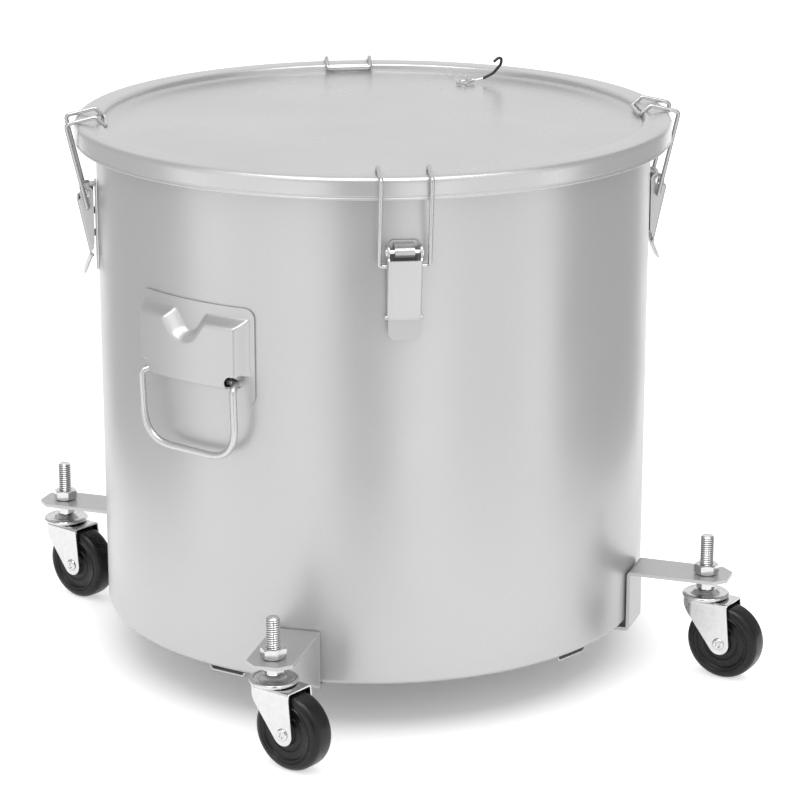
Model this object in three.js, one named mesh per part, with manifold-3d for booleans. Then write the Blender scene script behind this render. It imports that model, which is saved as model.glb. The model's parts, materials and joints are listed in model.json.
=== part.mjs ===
// Lidded sheet-metal drum that stands in a cross-shaped dolly with four swivel casters.
// Millimetres, +Z up. The origin is on the ground, under the drum's axis.
import * as THREE from 'three';
import { mergeVertices } from 'three/addons/utils/BufferGeometryUtils.js';
import Module from 'manifold-3d';

const wasm = await Module();
wasm.setup();

// ---- driving dimensions ----
const GAP = 0.3; // clearance left between pieces that touch
const SHEET = 1.5; // sheet thickness of the drum, lid and latches

const DRUM_RADIUS = 217.5;
const DRUM_BOTTOM = 38.5; // underside of the drum above the ground
const DRUM_CORNER = 4; // radius between the drum's wall and floor
const LID_TOP = 432.5; // top of the lid's ring above the ground
const LID_RADIUS = 233.5; // outside of the lid's skirt
const LID_SKIRT = 17; // height of the lid's skirt
const LID_RECESS = 7; // depth of the lid's sunk panel
const LID_SHOULDER = 6; // radius between the lid's ring and skirt
const RING_INNER = 212; // inner edge of the lid's ring
const RING_EDGE = 2.5; // radius of that inner edge
const BEAD_RADIUS = 4.5; // rolled bead at the drum's mouth

const LATCH_ANGLES = { front: -112.2, right: -22.2, rear: 67.8, left: 157.8 };
const LATCH_PIVOT = { r: 225.5, z: LID_TOP - 56.5 };
const BAIL_FOOT = { x: -0.5, z: -10.6 }; // from the lever's pivot
const BAIL_WIRE = 1.4; // radius of the bail's wire
const BAIL_HALF = 18.3; // half the bail's width, to the wire's centre
const LEVER_WIDTH = 25;
const LEVER_WALL = 1.3;
const PIN_RADIUS = 2;

const HANDLE_ANGLES = { left: -156, right: 24 };
const HANDLE_WIDTH = 111;
const HANDLE_LOW = DRUM_BOTTOM + 214.5;
const HANDLE_HIGH = DRUM_BOTTOM + 288.5;
const PAD_HEIGHT = 11; // how far the pressed pad stands out of the handle plate
const RING_PIVOT = { x: 219.2, z: DRUM_BOTTOM + 232.5 };
const RING_WIRE = 2.4;
const RING_HALF = 43.5;
const RING_BOTTOM = DRUM_BOTTOM + 175;
const RING_STANDOFF = 229.6;
const RING_HOLE = { y: 41.2, z: DRUM_BOTTOM + 232.1, radius: 5.2 };

const CASTER_RADIUS = 278; // from the drum's axis to each caster's stem
const ARM_ANGLES = { front: -133.3, right: -47.5, rear: 46.7, left: 132.5 };
const TRAIL_ANGLES = { front: -66, right: -60, rear: 115, left: -68 };
const TRAIL = 18.5; // from the stem to the wheel's axle
const STRAP_WIDTH = 36;
const STRAP_THICK = 3;
const TAB_TOP = 82;
const RISER_INNER = 218;
const TAB_REACH = 19; // from the stem to the end of the tab
const STEM_RADIUS = 5;
const STEM_TOP = 113.5;
const WHEEL_RADIUS = 30;
const WHEEL_HALF = 10.5;
const FORK_TOP = 63;
const FORK_THICK = 1.6;
const FORK_HALF = 13.6; // outside of the fork's legs

const FOOT_ANGLES = { front_left: -149.6, front_right: -72.4, rear_right: 30.4, rear_left: 107.6 };
const FOOT_SPAN = 33;
const FOOT_DROP = 4;

const HOOK_PLACE = { r: 172, angle: 36.2, heading: -20 };
const HOOK_WIRE = 1.2;

const BAG_RADIUS = 75;
const BAG_HEIGHT = 175;
const HOOP_WIRE = 2;
const BAG_SPOT = { x: -28, y: -10 };

// ---- materials ----
const paint = (color) => new THREE.MeshStandardMaterial({ color, roughness: 0.38, metalness: 0.6 });
const drumPaint = paint(0xc9c9ca);
const lidPaint = paint(0xd2d2d2);
const latchSteel = paint(0xbdbdbd);
const strapPaint = paint(0xb4b4b4);
const chrome = new THREE.MeshStandardMaterial({ color: 0xe6e6e8, roughness: 0.15, metalness: 1 });
const zinc = new THREE.MeshStandardMaterial({ color: 0xd0d2d4, roughness: 0.3, metalness: 1 });
const blackPlastic = new THREE.MeshStandardMaterial({ color: 0x1c1c1c, roughness: 0.45, metalness: 0 });
const rubber = new THREE.MeshStandardMaterial({ color: 0xd8d5cc, roughness: 0.7, metalness: 0 });
const hookBlack = new THREE.MeshStandardMaterial({ color: 0x2a2a2a, roughness: 0.4, metalness: 0.3 });
const mesh = new THREE.MeshStandardMaterial({ color: 0xf0f0ee, roughness: 0.8, metalness: 0 });

// ---- solids ----
const radians = THREE.MathUtils.degToRad;

// Shares the vertices of a closed geometry and turns its faces outwards.
function closed(geometry) {
  const g = geometry.clone();
  g.deleteAttribute('normal');
  g.deleteAttribute('uv');
  const merged = mergeVertices(g, 1e-3);
  const p = merged.attributes.position;
  const old = merged.index.array;
  const kept = [];
  for (let i = 0; i < old.length; i += 3) {
    const [a, b, c] = [old[i], old[i + 1], old[i + 2]];
    if (a !== b && b !== c && c !== a) kept.push(a, b, c);
  }
  let volume = 0;
  const [va, vb, vc] = [new THREE.Vector3(), new THREE.Vector3(), new THREE.Vector3()];
  for (let i = 0; i < kept.length; i += 3) {
    va.fromBufferAttribute(p, kept[i]);
    vb.fromBufferAttribute(p, kept[i + 1]);
    vc.fromBufferAttribute(p, kept[i + 2]);
    volume += va.dot(vb.cross(vc));
  }
  if (volume < 0) kept.reverse();
  merged.setIndex(kept);
  return merged;
}

const solid = (geometry) => {
  const g = closed(geometry);
  return new wasm.Manifold(new wasm.Mesh({
    numProp: 3,
    vertProperties: new Float32Array(g.attributes.position.array),
    triVerts: new Uint32Array(g.index.array),
  }));
};

function fromSolid(manifold) {
  const data = manifold.getMesh();
  const g = new THREE.BufferGeometry();
  g.setAttribute('position', new THREE.BufferAttribute(new Float32Array(data.vertProperties), 3));
  g.setIndex(new THREE.BufferAttribute(new Uint32Array(data.triVerts), 1));
  return g;
}

const join = (first, ...rest) => fromSolid(rest.reduce((sum, g) => sum.add(solid(g)), solid(first)));
const cut = (first, ...rest) => fromSolid(rest.reduce((left, g) => left.subtract(solid(g)), solid(first)));
const common = (first, second) => fromSolid(solid(first).intersect(solid(second)));

// Turns a list of [radius, height] points about the Z axis.
function turned(points, segments) {
  const profile = points.map(([r, z]) => new THREE.Vector2(r, z));
  return closed(new THREE.LatheGeometry(profile, segments).rotateX(Math.PI / 2));
}

// A closed profile that doesn't reach the axis.
const turnedRing = (points, segments) => turned([...points, points[0]], segments);

// Points on an arc in the [radius, height] plane, from one angle to another in degrees.
function arc(cx, cz, radius, from, to, steps) {
  return Array.from({ length: steps + 1 }, (_, i) => {
    const a = radians(from + ((to - from) * i) / steps);
    return [cx + radius * Math.cos(a), cz + radius * Math.sin(a)];
  });
}

const shapeOf = (points) => new THREE.Shape(points.map(([x, y]) => new THREE.Vector2(x, y)));

// A side outline in the X-Z plane, given a width along Y and centred on it.
function sideSolid(points, width) {
  const g = new THREE.ExtrudeGeometry(shapeOf(points), { depth: width, bevelEnabled: false });
  return g.rotateX(Math.PI / 2).translate(0, width / 2, 0);
}

// A front outline in the Y-Z plane, running from x = near to x = far.
function frontSolid(points, near, far) {
  const g = new THREE.ExtrudeGeometry(shapeOf(points), { depth: far - near, bevelEnabled: false });
  return g.rotateX(Math.PI / 2).rotateZ(Math.PI / 2).translate(near, 0, 0);
}

// A plan outline in the X-Y plane, running from z = low to z = high.
function planSolid(points, low, high) {
  const g = new THREE.ExtrudeGeometry(shapeOf(points), { depth: high - low, bevelEnabled: false });
  return g.translate(0, 0, low);
}

// A round bar along Y.
const barAlongY = (radius, length, x, y, z, sides = 12) =>
  new THREE.CylinderGeometry(radius, radius, length, sides).translate(x, y, z);

// A rectangle with rounded corners as a list of points.
function roundedRect(x0, y0, x1, y1, radius, steps = 3) {
  return [
    ...arc(x1 - radius, y1 - radius, radius, 0, 90, steps),
    ...arc(x0 + radius, y1 - radius, radius, 90, 180, steps),
    ...arc(x0 + radius, y0 + radius, radius, 180, 270, steps),
    ...arc(x1 - radius, y0 + radius, radius, 270, 360, steps),
  ];
}

// A curve that visits each of its points, so that a swept wire has one ring of vertices at each.
class PointCurve extends THREE.Curve {
  constructor(points) {
    super();
    this.points = points;
  }

  getUtoTmapping(u) {
    return u;
  }

  getPoint(t, target = new THREE.Vector3()) {
    const place = Math.min(Math.max(t, 0), 1) * (this.points.length - 1);
    const i = Math.min(Math.floor(place), this.points.length - 2);
    return target.lerpVectors(this.points[i], this.points[i + 1], place - i);
  }
}

// Rounds the inner corners of a path of [x, y, z, bend radius] points.
function bent(corners, steps = 2) {
  const at = corners.map(([x, y, z]) => new THREE.Vector3(x, y, z));
  const path = [at[0]];
  for (let i = 1; i < at.length - 1; i += 1) {
    const back = at[i - 1].clone().sub(at[i]).normalize();
    const ahead = at[i + 1].clone().sub(at[i]).normalize();
    const half = back.angleTo(ahead) / 2;
    const reach = corners[i][3] / Math.tan(half);
    const start = at[i].clone().addScaledVector(back, reach);
    const end = at[i].clone().addScaledVector(ahead, reach);
    const bend = new THREE.QuadraticBezierCurve3(start, at[i], end);
    path.push(...bend.getPoints(steps));
  }
  path.push(at[at.length - 1]);
  return path;
}

// A wire of the given radius along a list of points.
function wire(points, radius, sides = 6) {
  const section = new THREE.Shape(Array.from({ length: sides }, (_, i) => {
    const a = (2 * Math.PI * i) / sides;
    return new THREE.Vector2(radius * Math.cos(a), radius * Math.sin(a));
  }));
  return closed(new THREE.ExtrudeGeometry(section, {
    steps: points.length - 1,
    bevelEnabled: false,
    extrudePath: new PointCurve(points),
  }));
}

// ---- the scene graph ----
const drum = new THREE.Group();

function add(parent, name, geometry, material) {
  const piece = new THREE.Mesh(closed(geometry), material);
  piece.name = name;
  parent.add(piece);
  return piece;
}

// A group turned about the drum's axis, so that its local +X points outwards at that angle.
function facing(angle) {
  const group = new THREE.Group();
  group.rotation.z = radians(angle);
  drum.add(group);
  return group;
}

// ---- drum and lid ----
const ROUND = 44; // sides of the large turned pieces

function drumShell() {
  const inner = DRUM_RADIUS - SHEET;
  const corner = DRUM_RADIUS - DRUM_CORNER;
  const beadCentre = DRUM_RADIUS + BEAD_RADIUS - 0.8;
  const beadHeight = LID_TOP - 9.6;
  return turned([
    [0, DRUM_BOTTOM],
    ...arc(corner, DRUM_BOTTOM + DRUM_CORNER, DRUM_CORNER, -90, 0, 2),
    ...arc(beadCentre, beadHeight, BEAD_RADIUS, -145, 180, 5),
    [inner, beadHeight - BEAD_RADIUS],
    ...arc(corner, DRUM_BOTTOM + DRUM_CORNER, DRUM_CORNER - SHEET, 0, -90, 1),
    [0, DRUM_BOTTOM + SHEET],
  ], ROUND);
}

function lidShell() {
  const ring = LID_RADIUS - LID_SHOULDER;
  const panel = LID_TOP - LID_RECESS;
  const skirtEnd = LID_TOP - LID_SKIRT;
  return turned([
    [0, panel - SHEET],
    [198, panel - SHEET],
    [RING_INNER - 1, LID_TOP - 6.6],
    [RING_INNER + 3, LID_TOP - SHEET],
    ...arc(ring, LID_TOP - LID_SHOULDER, LID_SHOULDER - SHEET, 90, 0, 2),
    [LID_RADIUS - SHEET, skirtEnd],
    [LID_RADIUS, skirtEnd],
    ...arc(ring, LID_TOP - LID_SHOULDER, LID_SHOULDER, 0, 90, 2),
    ...arc(RING_INNER + RING_EDGE, LID_TOP - RING_EDGE, RING_EDGE, 90, 180, 2),
    [RING_INNER - 2.2, LID_TOP - 5.6],
    [RING_INNER - 5, LID_TOP - 6.4],
    [198, panel],
    [0, panel],
  ], ROUND);
}

function lidGasket() {
  const [inner, outer] = [DRUM_RADIUS + 0.7, LID_RADIUS - 5.5];
  const [low, high] = [LID_TOP - 4.8, LID_TOP - SHEET - GAP];
  return turnedRing([[inner, low], [outer, low], [outer, high], [inner, high]], ROUND);
}

// A wire hook that stands up out of an eye lying on the lid's panel.
function lidHook() {
  const eye = 6;
  const points = [];
  for (let a = 40; a <= 320; a += 35) {
    points.push([eye * Math.cos(radians(a)), eye * Math.sin(radians(a)), 0]);
  }
  points.push([10, 0, 0.6], [17, 0, 3], [24, 0, 7], [29.5, 0, 12], [32.3, 0, 16.5], [31.4, 0, 19.2]);
  points.push([28.6, 0, 19], [25.6, 0, 16.6]);
  return wire(points.map(([x, y, z]) => new THREE.Vector3(x, y, z)), HOOK_WIRE);
}

add(drum, 'drum_shell', drumShell(), drumPaint);
add(drum, 'lid', lidShell(), lidPaint);
add(drum, 'lid_gasket', lidGasket(), rubber);

const hookGroup = new THREE.Group();
hookGroup.position.set(
  HOOK_PLACE.r * Math.cos(radians(HOOK_PLACE.angle)),
  HOOK_PLACE.r * Math.sin(radians(HOOK_PLACE.angle)),
  LID_TOP - LID_RECESS + HOOK_WIRE + GAP,
);
hookGroup.rotation.z = radians(HOOK_PLACE.heading);
drum.add(hookGroup);
add(hookGroup, 'lid_hook', lidHook(), hookBlack);

// ---- toggle latches ----
// The pieces of a latch are drawn around the lever's pivot.
const PLATE_FACE = DRUM_RADIUS + GAP + SHEET - LATCH_PIVOT.r;

function latchPlate() {
  const plate = frontSolid(roundedRect(-10.5, -62, 10.5, 7.5, 3), PLATE_FACE - SHEET, PLATE_FACE);
  const knuckle = barAlongY(4.2, 14.4, 0, 0, 0, 14);
  const bridge = sideSolid([[PLATE_FACE - 1, 3], [-1.5, 1.6], [-0.4, 4.1], [PLATE_FACE - 1, 6.2]], 14.4);
  const bore = barAlongY(PIN_RADIUS + GAP, 20, 0, 0, 0, 10);
  return cut(join(plate, knuckle, bridge), bore);
}

function latchPin() {
  const [head, flange, half] = [3.3, LEVER_WIDTH / 2 + GAP, LEVER_WIDTH / 2 + 1.5];
  const pin = turned([
    [0, -half],
    [head - 0.8, -half],
    [head, -flange],
    [PIN_RADIUS, -flange],
    [PIN_RADIUS, flange],
    [head, flange],
    [head - 0.8, half],
    [0, half],
  ], 10);
  return pin.rotateX(Math.PI / 2);
}

function latchLever() {
  const crease = -51;
  const flanges = sideSolid([
    [7, -5],
    [5.3, -1],
    ...arc(0, 0, 5.4, 0, 180, 6),
    [-5.2, -43],
    [-3.9, -50.2],
    [-2.2, crease],
  ], LEVER_WIDTH);
  const hollow = sideSolid([
    [-20, 20],
    [20, 20],
    [20, -5],
    [5.47, -5],
    [-3.6, -50.3],
    [-20, -50.3],
  ], LEVER_WIDTH - 2 * LEVER_WALL);
  const lip = sideSolid([[-2.2, crease], [3.4, -64.5], [2, -65.1], [-3.9, -50.2]], LEVER_WIDTH);
  const lugs = new THREE.BoxGeometry(1.5, LEVER_WIDTH + 3.6, 3).translate(-3, 0, -49.5);
  const outline = frontSolid(roundedRect(-LEVER_WIDTH / 2, -66, LEVER_WIDTH / 2, 20, 5), -20, 20);
  const pinBore = barAlongY(PIN_RADIUS + GAP, 40, 0, 0, 0, 10);
  const footBore = barAlongY(BAIL_WIRE + 0.4, 40, BAIL_FOOT.x, 0, BAIL_FOOT.z, 8);
  const sheet = common(cut(join(flanges, lip), hollow), outline);
  return cut(join(sheet, cut(lugs, hollow)), pinBore, footBore);
}

function latchBail() {
  const top = LID_TOP - LATCH_PIVOT.z;
  const foot = LEVER_WIDTH / 2 - LEVER_WALL - 0.6;
  const side = (sign) => [
    [BAIL_FOOT.x, sign * foot, BAIL_FOOT.z, 0],
    [BAIL_FOOT.x, sign * BAIL_HALF, BAIL_FOOT.z, 2.6],
    [16.8, sign * BAIL_HALF, top - 0.5, 4.5],
    [-7, sign * BAIL_HALF, top + 6.2, 2.2],
    [-14.1, sign * BAIL_HALF, top + 1.7, 2.4],
  ];
  return wire(bent([...side(1), ...side(-1).reverse()]), BAIL_WIRE);
}

for (const [place, angle] of Object.entries(LATCH_ANGLES)) {
  const group = new THREE.Group();
  group.position.set(LATCH_PIVOT.r, 0, LATCH_PIVOT.z);
  facing(angle).add(group);
  add(group, `latch_plate_${place}`, latchPlate(), latchSteel);
  add(group, `latch_pin_${place}`, latchPin(), zinc);
  add(group, `latch_lever_${place}`, latchLever(), latchSteel);
  add(group, `latch_bail_${place}`, latchBail(), zinc);
}

// ---- carrying handles ----
const ease = (t) => Math.min(Math.max(t, 0), 1);

// How far the pressed pad stands out, at a distance across the plate and up it. The pad has a
// bevel all round, a V-shaped notch in its top edge, and a lower edge that steps up at its ends.
function padHeight(across, up) {
  const [high, half, side] = [66, 52, Math.abs(across)];
  const low = 12.5 + 10.5 * ease((side - 40) / 6);
  const [sin, cos, tip] = [Math.sin(radians(36)), Math.cos(radians(36)), up - 59];
  const belowTip = side * sin + tip * cos < 0;
  const toNotch = belowTip ? Math.hypot(side, tip) : side * cos - tip * sin;
  return PAD_HEIGHT * Math.min(
    ease((high - up) / 7.5),
    ease((half - side) / 10),
    ease((up - low) / 3),
    ease((toNotch - 8) / 8),
  );
}

function handlePlate() {
  const right = [5, 10, 15, 20, 27, 36, 42, 47, 52, HANDLE_WIDTH / 2];
  const columns = [...right.map((y) => -y).reverse(), 0, ...right];
  const rows = [0, 12.5, 15.5, 23, 32, 42.5, 47, 51, 58.5, 66, HANDLE_HIGH - HANDLE_LOW];
  const [wide, high] = [columns.length - 1, rows.length - 1];
  const sheet = new THREE.BoxGeometry(wide, high, 1.2, wide, high, 1);
  const p = sheet.attributes.position;
  for (let i = 0; i < p.count; i += 1) {
    const across = columns[Math.round(p.getX(i) + wide / 2)];
    const up = rows[Math.round(p.getY(i) + high / 2)];
    const r = DRUM_RADIUS + GAP + 0.6 + p.getZ(i) + padHeight(across, up);
    const turn = across / DRUM_RADIUS;
    p.setXYZ(i, r * Math.cos(turn), r * Math.sin(turn), HANDLE_LOW + up);
  }
  const half = HANDLE_WIDTH / 2 - 0.6;
  const outline = frontSolid(roundedRect(-half, HANDLE_LOW, half, HANDLE_HIGH, 8), 190, 240);
  const holes = [-1, 1].map((sign) => (
    frontSolid(arc(sign * RING_HOLE.y, RING_HOLE.z, RING_HOLE.radius, 0, 324, 9), 205, 240)
  ));
  return cut(common(sheet, outline), ...holes);
}

// The wire's ends lie inside the pad, pass out through its holes and turn down.
function handleRing() {
  const side = (sign) => [
    [RING_PIVOT.x, sign * 31, RING_PIVOT.z, 0],
    [RING_PIVOT.x, sign * 38.5, RING_PIVOT.z, 2.5],
    [RING_STANDOFF + 0.2, sign * RING_HALF, RING_PIVOT.z - 3.5, 3.6],
    [RING_STANDOFF, sign * (RING_HALF - 1), RING_BOTTOM, 19],
  ];
  return wire(bent([...side(1), ...side(-1).reverse()], 3), RING_WIRE, 8);
}

for (const [place, angle] of Object.entries(HANDLE_ANGLES)) {
  const group = facing(angle);
  add(group, `handle_plate_${place}`, handlePlate(), drumPaint);
  add(group, `handle_ring_${place}`, handleRing(), zinc);
}

// ---- feet pressed out of strip, under the drum's edge ----
function foot() {
  const [half, low, high] = [FOOT_SPAN / 2, DRUM_BOTTOM - FOOT_DROP, DRUM_BOTTOM - GAP];
  const strip = [
    [half - 5.6, high],
    [half - 5.2, low + 1.2],
    [-half + 5.2, low + 1.2],
    [-half + 5.6, high],
    [-half, high],
    [-half + 1.6, low + 0.6],
    [-half + 4, low],
    [half - 4, low],
    [half - 1.6, low + 0.6],
    [half, high],
  ];
  return frontSolid(strip, 198, 214);
}

for (const [place, angle] of Object.entries(FOOT_ANGLES)) {
  add(facing(angle), `foot_${place}`, foot(), strapPaint);
}

// ---- cross-shaped base ----
// One strap of the cross: a floor run, two risers and two tabs with clipped corners.
function strap(floorTop) {
  const [t, bend] = [STRAP_THICK, 4];
  const end = CASTER_RADIUS + TAB_REACH;
  const side = [
    [0, floorTop],
    ...arc(RISER_INNER - 1, floorTop + 1, 1, -90, 0, 1),
    ...arc(RISER_INNER + bend, TAB_TOP - bend, bend, 180, 90, 2),
    [end, TAB_TOP],
    [end, TAB_TOP - t],
    ...arc(RISER_INNER + bend, TAB_TOP - bend, bend - t, 90, 180, 1),
    ...arc(RISER_INNER + t - bend, floorTop - t + bend, bend, 0, -90, 2),
    [0, floorTop - t],
  ];
  const half = sideSolid(side, STRAP_WIDTH);
  const whole = join(half, half.clone().rotateZ(Math.PI));
  const [wide, clip] = [STRAP_WIDTH / 2, 9];
  const outline = planSolid([
    [end - clip, -wide],
    [end, clip - wide],
    [end, wide - clip],
    [end - clip, wide],
    [clip - end, wide],
    [-end, wide - clip],
    [-end, clip - wide],
    [clip - end, -wide],
  ], 0, TAB_TOP + 10);
  const bore = new THREE.CylinderGeometry(STEM_RADIUS + GAP, STEM_RADIUS + GAP, 200, 10);
  bore.rotateX(Math.PI / 2).translate(0, 0, 60);
  const bores = [-CASTER_RADIUS, 0, CASTER_RADIUS].map((x) => bore.clone().translate(x, 0, 0));
  return cut(common(whole, outline), ...bores);
}

const STRAP_TOP = DRUM_BOTTOM - GAP; // the drum rests on the upper strap
const LOWER_TOP = STRAP_TOP - STRAP_THICK - GAP;

function centreRivet() {
  const [shank, head] = [STEM_RADIUS, 9];
  const under = LOWER_TOP - STRAP_THICK - GAP;
  return turned([
    [0, under - 3.4],
    [head - 2.5, under - 3.2],
    [head, under - 1.4],
    [head, under],
    [shank, under],
    [shank, STRAP_TOP],
    [0, STRAP_TOP],
  ], 16);
}

add(facing(ARM_ANGLES.front), 'base_strap_upper', strap(STRAP_TOP), strapPaint);
add(facing(ARM_ANGLES.right), 'base_strap_lower', strap(LOWER_TOP), strapPaint);
add(drum, 'base_rivet', centreRivet(), zinc);

// ---- casters, drawn around the stem's axis with the wheel trailing along +X ----
const CAP_LOW = FORK_TOP + 0.5;
const SHOULDER_LOW = CAP_LOW + 6.2;
const SHOULDER_HIGH = TAB_TOP - STRAP_THICK - GAP;
const hexagon = (acrossFlats) => arc(0, 0, acrossFlats / Math.sqrt(3), 0, 300, 5);

function casterStem() {
  const under = FORK_TOP - FORK_THICK - GAP;
  const shaft = turned([
    [0, under - 3.2],
    [5.5, under - 3],
    [7.5, under - 1.2],
    [7.5, under],
    [STEM_RADIUS, under],
    [STEM_RADIUS, STEM_TOP - 1],
    [STEM_RADIUS - 1, STEM_TOP],
    [0, STEM_TOP],
  ], 10);
  return join(shaft, planSolid(hexagon(13), SHOULDER_LOW, SHOULDER_HIGH));
}

function casterNut() {
  const low = TAB_TOP + GAP;
  const bore = new THREE.CylinderGeometry(STEM_RADIUS + GAP, STEM_RADIUS + GAP, 40, 10);
  return cut(planSolid(hexagon(17), low, low + 8), bore.rotateX(Math.PI / 2).translate(0, 0, low));
}

function casterCap() {
  const bore = STEM_RADIUS + GAP;
  return turnedRing([
    [bore, CAP_LOW],
    [17.4, CAP_LOW],
    [18.7, CAP_LOW + 1],
    [18.3, CAP_LOW + 2.4],
    [10.5, SHOULDER_LOW - GAP],
    [bore, SHOULDER_LOW - GAP],
  ], 14);
}

function casterFork() {
  const [low, round] = [FORK_TOP - FORK_THICK, 17.5];
  const corner = THREE.MathUtils.radToDeg(Math.asin(FORK_HALF / round));
  const plate = planSolid([
    ...arc(0, 0, round, 180 - corner, 180 + corner, 3),
    ...arc(0, 0, round, -corner - 34, -corner, 1),
    [TRAIL + 5, -FORK_HALF],
    [TRAIL + 5, FORK_HALF],
    ...arc(0, 0, round, corner, corner + 34, 1),
  ], low, FORK_TOP);
  const legs = sideSolid([
    [-12.5, FORK_TOP - 0.2],
    [-11.5, FORK_TOP - 8],
    ...arc(TRAIL, WHEEL_RADIUS, 6.5, 205, 360, 5),
    [TRAIL + 7, FORK_TOP - 14],
    [TRAIL + 5, FORK_TOP - 0.2],
  ], 2 * FORK_HALF);
  const between = new THREE.BoxGeometry(90, 2 * (FORK_HALF - FORK_THICK), 80).translate(10, 0, low - 40);
  const stemBore = new THREE.CylinderGeometry(STEM_RADIUS + GAP, STEM_RADIUS + GAP, 20, 10)
    .rotateX(Math.PI / 2).translate(0, 0, low);
  const axleBore = barAlongY(3 + GAP, 60, TRAIL, 0, WHEEL_RADIUS, 10);
  return cut(join(plate, cut(legs, between)), stemBore, axleBore);
}

function casterAxle() {
  const face = FORK_HALF + GAP;
  return turned([
    [0, -face - 1.4],
    [4, -face - 1.4],
    [5, -face],
    [3, -face],
    [3, face],
    [5, face],
    [4, face + 1.4],
    [0, face + 1.4],
  ], 10).rotateX(Math.PI / 2);
}

function casterWheel() {
  const [r, half] = [WHEEL_RADIUS, WHEEL_HALF];
  const side = [
    [3 + GAP, half + 0.9],
    [8.5, half + 0.9],
    [9.5, half - 2],
    [20, half - 2],
    [21.5, half - 0.2],
    [26.8, half - 0.4],
    [r, half - 5],
  ];
  const otherSide = side.map(([x, z]) => [x, -z]).reverse();
  return turnedRing([...side, ...otherSide], 20).rotateX(Math.PI / 2);
}

for (const [place, angle] of Object.entries(ARM_ANGLES)) {
  const stemGroup = new THREE.Group();
  stemGroup.position.x = CASTER_RADIUS;
  stemGroup.rotation.z = radians(TRAIL_ANGLES[place] - angle);
  facing(angle).add(stemGroup);
  add(stemGroup, `caster_stem_${place}`, casterStem(), chrome);
  add(stemGroup, `caster_nut_${place}`, casterNut(), zinc);
  add(stemGroup, `caster_cap_${place}`, casterCap(), chrome);
  add(stemGroup, `caster_fork_${place}`, casterFork(), chrome);
  const axleGroup = new THREE.Group();
  axleGroup.position.set(TRAIL, 0, WHEEL_RADIUS);
  stemGroup.add(axleGroup);
  add(axleGroup, `caster_axle_${place}`, casterAxle(), chrome);
  add(axleGroup, `caster_wheel_${place}`, casterWheel(), blackPlastic);
}

// ---- strainer bag, kept inside the drum ----
const BAG_LOW = DRUM_BOTTOM + SHEET + GAP;
const bagGroup = new THREE.Group();
bagGroup.position.set(BAG_SPOT.x, BAG_SPOT.y, BAG_LOW);
drum.add(bagGroup);

function strainerBag() {
  const wall = 2;
  return turned([
    [0, 0],
    [38, 0],
    [58, 8],
    [BAG_RADIUS - 5, 45],
    [BAG_RADIUS, BAG_HEIGHT],
    [BAG_RADIUS - wall, BAG_HEIGHT],
    [BAG_RADIUS - 5 - wall, 46],
    [57, 10],
    [38, wall],
    [0, wall],
  ], 28);
}

// The hoop lies on the bag's mouth and its two ends run out as a handle with a round eye.
function strainerHoop() {
  const z = BAG_HEIGHT + HOOP_WIRE + GAP;
  const ring = BAG_RADIUS - 1;
  const points = [];
  for (let a = 12; a <= 348; a += 16.8) {
    points.push([ring * Math.cos(radians(a)), ring * Math.sin(radians(a)), z]);
  }
  points.push([ring + 9, -3.5, z + 3], [ring + 92, -2.6, z + 41]);
  const eye = 9;
  for (let a = 210; a <= 500; a += 48) {
    points.push([ring + 104 + eye * Math.cos(radians(a)), eye * Math.sin(radians(a)), z + 46]);
  }
  return wire(points.map(([x, y, h]) => new THREE.Vector3(x, y, h)), HOOP_WIRE);
}

add(bagGroup, 'strainer_bag', strainerBag(), mesh);
add(bagGroup, 'strainer_hoop', strainerHoop(), zinc);

export default drum;
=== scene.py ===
import json
import math

import bmesh
import bpy
from mathutils import Matrix, Vector, geometry


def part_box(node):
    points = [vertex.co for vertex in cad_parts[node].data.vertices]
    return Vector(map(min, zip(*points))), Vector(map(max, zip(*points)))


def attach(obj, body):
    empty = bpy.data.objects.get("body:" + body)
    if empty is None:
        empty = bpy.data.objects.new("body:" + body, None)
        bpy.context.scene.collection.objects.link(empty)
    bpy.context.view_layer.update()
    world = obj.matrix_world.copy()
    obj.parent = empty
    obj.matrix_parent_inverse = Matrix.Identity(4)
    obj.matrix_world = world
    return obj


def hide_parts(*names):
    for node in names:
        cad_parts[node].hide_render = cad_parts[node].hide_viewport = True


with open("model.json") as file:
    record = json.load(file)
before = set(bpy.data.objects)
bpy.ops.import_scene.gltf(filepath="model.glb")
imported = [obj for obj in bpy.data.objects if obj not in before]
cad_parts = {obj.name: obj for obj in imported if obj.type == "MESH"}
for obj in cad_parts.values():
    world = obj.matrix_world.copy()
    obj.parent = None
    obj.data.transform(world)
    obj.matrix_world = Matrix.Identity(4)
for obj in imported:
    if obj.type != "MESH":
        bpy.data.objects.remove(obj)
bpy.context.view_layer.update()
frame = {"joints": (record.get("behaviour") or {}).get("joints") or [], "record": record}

# ---- sizes, in millimetres ----
MM = 0.001
SHEET = 1.5
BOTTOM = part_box("drum_shell")[0].z / MM
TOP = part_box("lid")[1].z / MM
RADIUS = 217.5
LID_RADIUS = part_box("lid")[1].x / MM
JOINTS = {j["name"]: j for j in frame["joints"]}
BODY_OF = {node: body for body, nodes in frame["record"]["behaviour"]["bodies"].items() for node in nodes}
SIDES = ("front", "right", "rear", "left")


def at_joint(name, heading=None):
    """A frame in millimetres at a joint, with +X pointing away from the drum's axis."""
    place = Vector(JOINTS[name]["pos_m"])
    turn = math.atan2(place.y, place.x) if heading is None else heading
    return Matrix.Translation(place) @ Matrix.Rotation(turn, 4, "Z") @ Matrix.Scale(MM, 4)


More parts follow.
